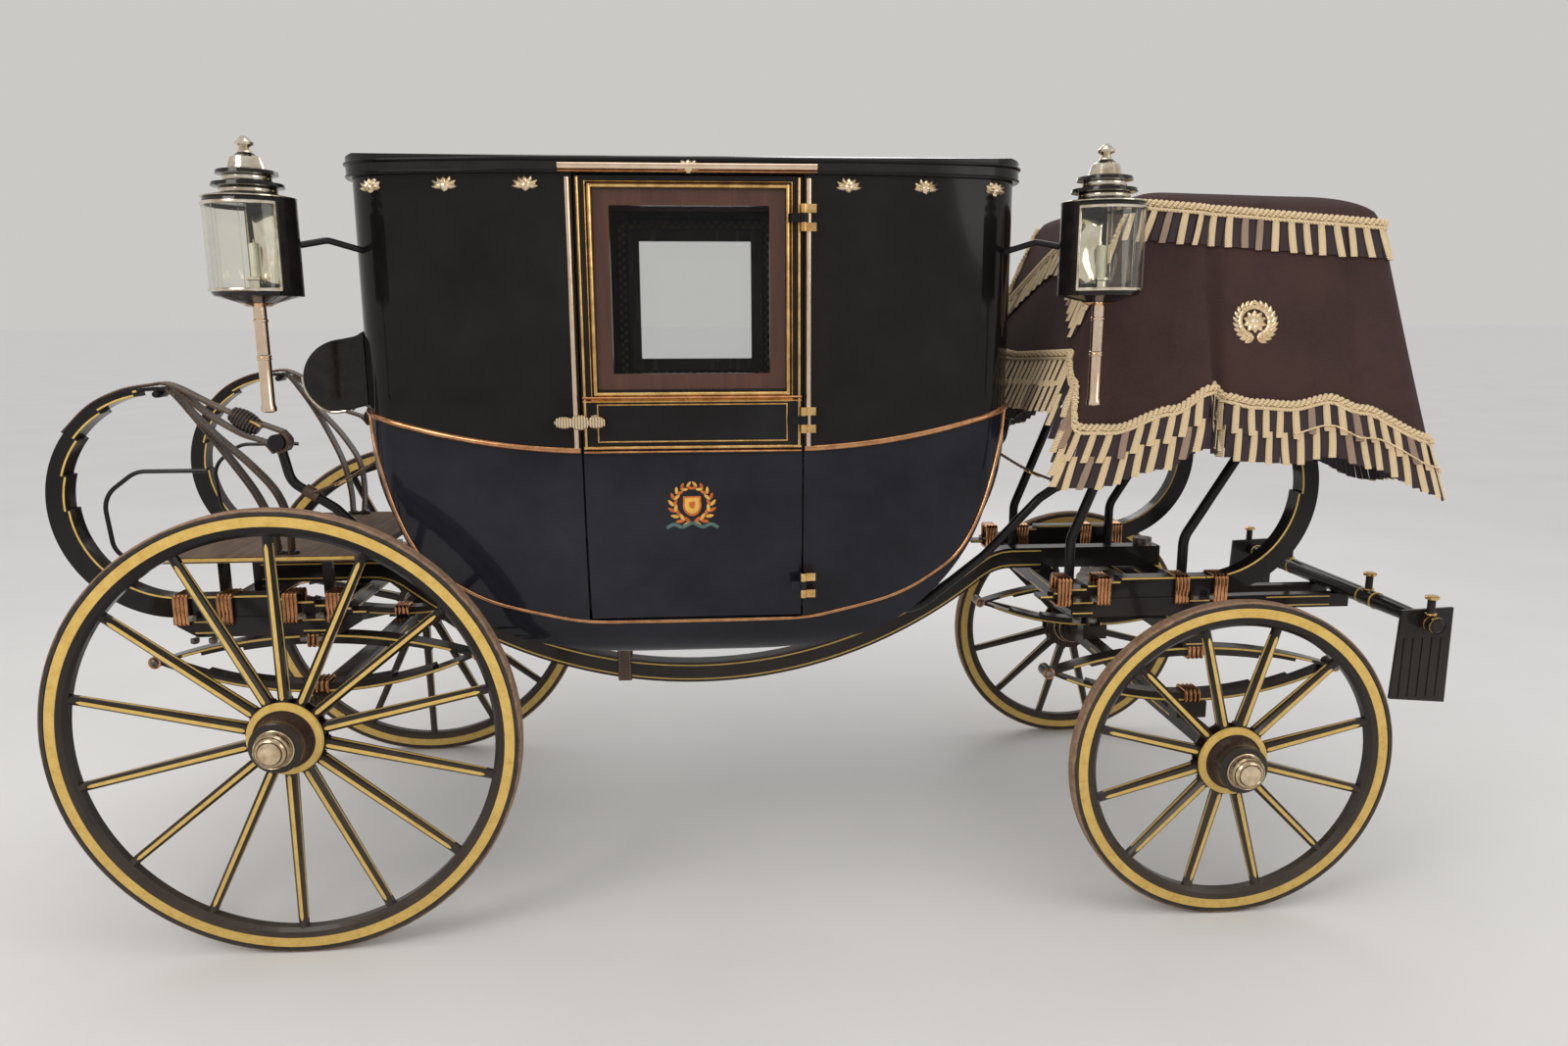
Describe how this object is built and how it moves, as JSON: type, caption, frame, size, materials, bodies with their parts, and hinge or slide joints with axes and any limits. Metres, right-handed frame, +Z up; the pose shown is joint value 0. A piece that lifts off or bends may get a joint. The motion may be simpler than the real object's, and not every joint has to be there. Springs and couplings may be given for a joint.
{
  "type": "town coach",
  "caption": "Closed four-wheeled town coach hung on C-springs and elliptic springs, with opening doors, lamps, a steering fore-carriage and a draped coachman's seat.",
  "frame": {"origin": "on the ground, under the middle of the carriage's length and width", "axes": "+X forward towards the splinter bar, +Y to the carriage's left, +Z up"},
  "size_m": [3.9349, 1.584, 2.105],
  "materials": {
    "coach_black": "deep gloss coach varnish",
    "panel_dark": "deep gloss coach varnish, blue black",
    "roof_black": "gloss black, dusty",
    "boards": "worn oiled wood",
    "upholstery": "golden brown buttoned cloth",
    "seat_box": "dark stained wood",
    "sash_wood": "polished red brown mahogany",
    "glass": "clear",
    "gilt": "worn gilt brass",
    "carriage_black": "gloss black lined in ochre",
    "wheel_black": "gloss black paint lined in ochre",
    "tyre": "worn, brown with road dust",
    "spring_steel": "gloss black steel leaves",
    "bare_steel": "worn and greased",
    "leather": "dark brown harness leather",
    "lamp_black": "black japan",
    "lamp_glass": "clear, bevelled",
    "cloth": "dark plum brown wool",
    "iron": "black painted iron"
  },
  "bodies": {
    "carriage": {"lower_body_panels": "panel_dark", "rear_upper_panels": "coach_black", "front_upper_panels": "coach_black", "roof_panel": "roof_black", "floor_boards": "boards", "seat_boxes": "seat_box", "seat_cushions": "upholstery", "seat_backs": "upholstery", "sword_case": "coach_black", "door_hinges": "gilt", "lamp_cases": "lamp_black", "lamp_glasses": "lamp_glass", "lamp_brackets": "iron", "perch": "carriage_black", "check_strap": "leather", "hind_axle": "carriage_black", "hind_elliptic_springs": "spring_steel", "hind_bed": "carriage_black", "hind_c_springs": "spring_steel", "footmens_platform": "boards", "body_loops": "iron", "leather_braces": "leather", "front_transom": "carriage_black", "front_c_springs": "spring_steel", "upper_wheel_plate": "bare_steel", "perch_bolt": "iron", "coachman_seat_frame": "iron", "coachman_cushion": "cloth", "hammercloth": "cloth"},
    "fore_carriage": {"lower_wheel_plate": "bare_steel", "fore_bed": "carriage_black", "futchells": "carriage_black", "splinter_bar": "carriage_black", "step_plates": "iron", "fore_axle": "carriage_black", "fore_elliptic_springs": "spring_steel"},
    "right_door": {"right_door": "panel_dark", "right_door_sash": "sash_wood", "right_door_glass": "glass", "right_door_handle": "gilt"},
    "left_door": {"left_door": "panel_dark", "left_door_sash": "sash_wood", "left_door_glass": "glass", "left_door_handle": "gilt"},
    "rear_right_wheel": {"rear_right_tyre": "tyre", "rear_right_wheel": "wheel_black", "rear_right_hub": "wheel_black"},
    "rear_left_wheel": {"rear_left_tyre": "tyre", "rear_left_wheel": "wheel_black", "rear_left_hub": "wheel_black"},
    "front_right_wheel": {"front_right_tyre": "tyre", "front_right_wheel": "wheel_black", "front_right_hub": "wheel_black"},
    "front_left_wheel": {"front_left_tyre": "tyre", "front_left_wheel": "wheel_black", "front_left_hub": "wheel_black"}
  },
  "joints": [
    {"name": "steering", "type": "hinge", "parent": "carriage", "child": "fore_carriage", "pos_m": [1.2325, 0, 0.7872], "axis": [0, 0, 1], "range_deg": [-28, 28]},
    {"name": "right_door_hinge", "type": "hinge", "parent": "carriage", "child": "right_door", "pos_m": [0.0475, -0.613, 1.4], "axis": [0, 0, 1], "range_deg": [0, 80]},
    {"name": "left_door_hinge", "type": "hinge", "parent": "carriage", "child": "left_door", "pos_m": [0.0475, 0.613, 1.4], "axis": [0, 0, 1], "range_deg": [-80, 0]},
    {"name": "rear_right_wheel_spin", "type": "hinge", "parent": "carriage", "child": "rear_right_wheel", "pos_m": [-1.2975, -0.679, 0.6], "axis": [0, 1, 0], "continuous": true},
    {"name": "rear_left_wheel_spin", "type": "hinge", "parent": "carriage", "child": "rear_left_wheel", "pos_m": [-1.2975, 0.679, 0.6], "axis": [0, 1, 0], "continuous": true},
    {"name": "front_right_wheel_spin", "type": "hinge", "parent": "fore_carriage", "child": "front_right_wheel", "pos_m": [1.2325, -0.679, 0.455], "axis": [0, 1, 0], "continuous": true},
    {"name": "front_left_wheel_spin", "type": "hinge", "parent": "fore_carriage", "child": "front_left_wheel", "pos_m": [1.2325, 0.679, 0.455], "axis": [0, 1, 0], "continuous": true}
  ]
}
